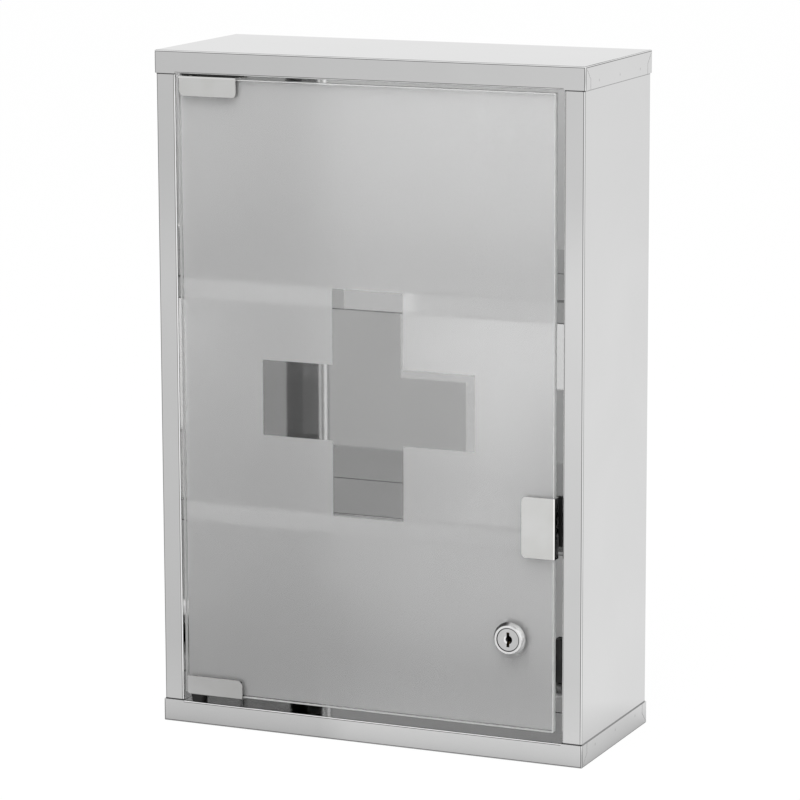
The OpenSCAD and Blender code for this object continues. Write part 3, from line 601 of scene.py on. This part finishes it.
def placePiece(bm, mesh, name):
    bm.to_mesh(mesh)
    bm.free()
    mesh.name = name + "_finish"
    mesh.shade_smooth()
    mesh.set_sharp_from_angle(angle=math.radians(meshing["smoothBelow"]))
    piece = bpy.data.objects.new(name + "_finish", mesh)
    scene.collection.objects.link(piece)
    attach(piece, bodyOf[name])
    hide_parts(name)
    weighted = piece.modifiers.new("flatFaces", "WEIGHTED_NORMAL")
    weighted.mode = "FACE_AREA"
    weighted.weight = meshing["flatWeight"]
    weighted.keep_sharp = True
    return piece


def sharpEdges(bm):
    limit = math.radians(meshing["sharperThan"])
    return [edge for edge in bm.edges if len(edge.link_faces) == 2 and edge.calc_face_angle() > limit]


def softenEdges(bm, edges, width):
    bmesh.ops.bevel(bm, geom=edges, offset=width, offset_type="OFFSET", segments=meshing["bevelSegments"],
                    profile=0.5, affect="EDGES", clamp_overlap=True, material=-1, harden_normals=False)


def moveBack(bm, frontOf, amount):
    front = [vert for vert in bm.verts if vert.co.y < frontOf]
    bmesh.ops.translate(bm, verts=front, vec=Vector((0, amount, 0)))


def finishNode(name, width=0.0):
    bm, mesh = mergedCopy(name)
    if name in setBack:
        moveBack(bm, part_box(name)[0].y + 0.01 * mm, setBack[name])
    if width:
        softenEdges(bm, sharpEdges(bm), width)
    placePiece(bm, mesh, name)


for name in sheetNodes:
    finishNode(name)
for name, width in softWidths.items():
    finishNode(name, width * mm)
print("solids finished:", len(sheetNodes) + len(softWidths))


pane = {
    "arris": 0.4 * mm,
    "rimWidth": 0.5 * mm,  # faces this close to the outline are ground,
    "faceNormal": 0.98,  # unless they look as straight forward or back as this
    "closeTo": 0.01 * mm,
    "printGap": 0.02 * mm,  # the print's front face lies a hair behind the glass
}


def buildPane():
    bm, mesh = mergedCopy("door_glass")
    low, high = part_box("door_glass")
    middle, half = (low + high) / 2, (high - low) / 2

    def onRim(edge):
        return all(min(abs(vert.co.x - low.x), abs(vert.co.x - high.x), abs(vert.co.z - low.z),
                       abs(vert.co.z - high.z)) < pane["closeTo"] for vert in edge.verts)

    softenEdges(bm, [edge for edge in sharpEdges(bm) if onRim(edge)], pane["arris"])
    mesh.materials.append(groundEdge)
    for face in bm.faces:
        away = face.calc_center_median() - middle
        atRim = abs(away.x) > half.x - pane["rimWidth"] or abs(away.z) > half.z - pane["rimWidth"]
        if atRim and abs(face.normal.y) < pane["faceNormal"]:
            face.material_index = 1
    placePiece(bm, mesh, "door_glass").visible_shadow = False


def buildFrosting():
    bm, mesh = mergedCopy("frosted_print")
    low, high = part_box("frosted_print")
    moveBack(bm, (low.y + high.y) / 2, pane["printGap"])
    placePiece(bm, mesh, "frosted_print")


buildPane()
buildFrosting()
print("door glazed")


studio = {
    "floorSize": 14.0,
    "floorTone": 0.86,
    # share of the floor's light that is its own white; the rest shows the object's shadow
    "ownWhite": {"Is Camera Ray": 0.97, "Is Glossy Ray": 0.85, "Is Transmission Ray": 0.70},
    # the floor in metal and glass, its glow painted with light and shade: darker right beside the cabinet as a
    # painted contact shadow, painted levels by depth in front of it, a painted rise towards the rear, painted
    # levels by bearing to the left, and painted shade on what the rear sheet mirrors back through the clear
    # cross, after the pane's four surfaces
    "contactShadow": {"half": (0.15, 0.06), "reach": 0.06, "level": 0.4, "power": 0.25},
    "frontLevel": ((-2.0, 0.93), (-0.3, 0.81)),
    "rearRise": ((-0.25, 0.0), (0.1, 0.26)),
    "leftLevel": ((-0.55, 0.83), (-0.3, 1.0)),
    "mirroredBack": {"surfaces": 4.0, "level": 0.72},
    "diffuseWorld": 1.0,
    "lamps": {
        "frontBox": {"place": (0.0, -1.8, 1.45), "aim": (0, 0, 0.42), "size": 2.0, "power": 40},
        "topBox": {"place": (0.1, -0.42, 1.0), "aim": (0, -0.06, 0.3), "size": 0.5, "power": 3.4},
        "backBox": {"place": (1.9, 0.9, 1.7), "aim": (0.5, 0.5, 0), "size": 1.6, "power": 10},
    },
    "bounces": {"max_bounces": 20, "transmission_bounces": 16, "glossy_bounces": 8},
}


def floorLevel(tree):
    # plain white to the camera; to metal and glass, the levels above with their painted light and shade
    x, y = axes(tree)[:2]
    contactShadow, back = studio["contactShadow"], studio["mirroredBack"]
    # painted contact shadow, darker right beside the cabinet
    outside = [largest(tree, minus(tree, magnitude(tree, axis), half), 0.0)
               for axis, half in zip((x, y), contactShadow["half"])]
    away = calc(tree, "DIVIDE", distance(tree, *outside), contactShadow["reach"], clamp=True)
    near = ramp(tree, calc(tree, "POWER", away, contactShadow["power"]), 0.0, 1.0, contactShadow["level"], 1.0)
    depth = calc(tree, "ADD", slope(tree, y, studio["frontLevel"]), slope(tree, y, studio["rearRise"]))
    bearing = times(tree, calc(tree, "DIVIDE", x, magnitude(tree, y)), below(tree, y, 0.0))
    path = addNode(tree, "ShaderNodeLightPath", (-500, 900)).outputs
    # painted shade on what the rear sheet mirrors back through the clear cross
    mirrored = times(tree, above(tree, path["Glossy Depth"], 0.5),
                     calc(tree, "COMPARE", path["Transmission Depth"], back["surfaces"], 0.5))
    level = times(tree, near, depth, slope(tree, bearing, studio["leftLevel"]),
                  toneWhere(tree, (mirrored, back["level"])))
    return ramp(tree, path["Is Camera Ray"], 0.0, 1.0, level, 1.0)


def shownTo(tree, shares):
    # the share given to each kind of ray that shows the background
    path = addNode(tree, "ShaderNodeLightPath", (-400, 300)).outputs
    return largest(tree, *[times(tree, path[ray], share) for ray, share in shares.items()])


def mixShaders(tree, factor, first, second, out):
    both = addNode(tree, "ShaderNodeMixShader", (600, 0))
    feed(tree, both.inputs, (factor, first.outputs[0], second.outputs[0]))
    tree.links.new(both.outputs[0], out.inputs["Surface"])


def addFloor():
    bm = bmesh.new()
    bmesh.ops.create_grid(bm, x_segments=1, y_segments=1, size=studio["floorSize"] / 2)
    mesh = bpy.data.meshes.new("studioFloor")
    bm.to_mesh(mesh)
    bm.free()
    floor = bpy.data.objects.new("studioFloor", mesh)
    scene.collection.objects.link(floor)
    material = bpy.data.materials.new("studioFloorWhite")
    material.use_nodes = True
    tree = material.node_tree
    tree.nodes.clear()
    out = addNode(tree, "ShaderNodeOutputMaterial", (900, 0))
    diffuse = addNode(tree, "ShaderNodeBsdfDiffuse", (200, -100), {"Color": (*grey(studio["floorTone"]), 1)})
    glow = addNode(tree, "ShaderNodeEmission", (200, 100))
    tree.links.new(floorLevel(tree), glow.inputs["Strength"])
    mixShaders(tree, shownTo(tree, studio["ownWhite"]), diffuse, glow, out)
    mesh.materials.append(material)


def addBackground(tree, row, strength):
    return addNode(tree, "ShaderNodeBackground", (200, row), {"Color": (1, 1, 1, 1), "Strength": strength})


def addWorld():
    world = bpy.data.worlds.new("studioWhite")
    world.use_nodes = True
    tree = world.node_tree
    tree.nodes.clear()
    out = addNode(tree, "ShaderNodeOutputWorld", (900, 0))
    level = addBackground(tree, -100, studio["diffuseWorld"])
    white = addBackground(tree, 100, 1.0)
    mixShaders(tree, shownTo(tree, dict.fromkeys(studio["ownWhite"], 1.0)), level, white, out)
    scene.world = world


def addLamp(name, lamp):
    data = bpy.data.lights.new(name, "AREA")
    data.shape = "SQUARE"
    data.size = lamp["size"]
    data.energy = lamp["power"]
    light = bpy.data.objects.new(name, data)
    scene.collection.objects.link(light)
    light.location = lamp["place"]
    toward = Vector(lamp["aim"]) - Vector(lamp["place"])
    light.rotation_euler = toward.to_track_quat("-Z", "Y").to_euler()
    light.visible_camera = False
    light.visible_glossy = False
    light.visible_transmission = False


addFloor()
addWorld()
for name, lamp in studio["lamps"].items():
    addLamp(name, lamp)
for limit, count in studio["bounces"].items():
    setattr(scene.cycles, limit, count)
scene.view_settings.view_transform = "Standard"
print("studio lit")
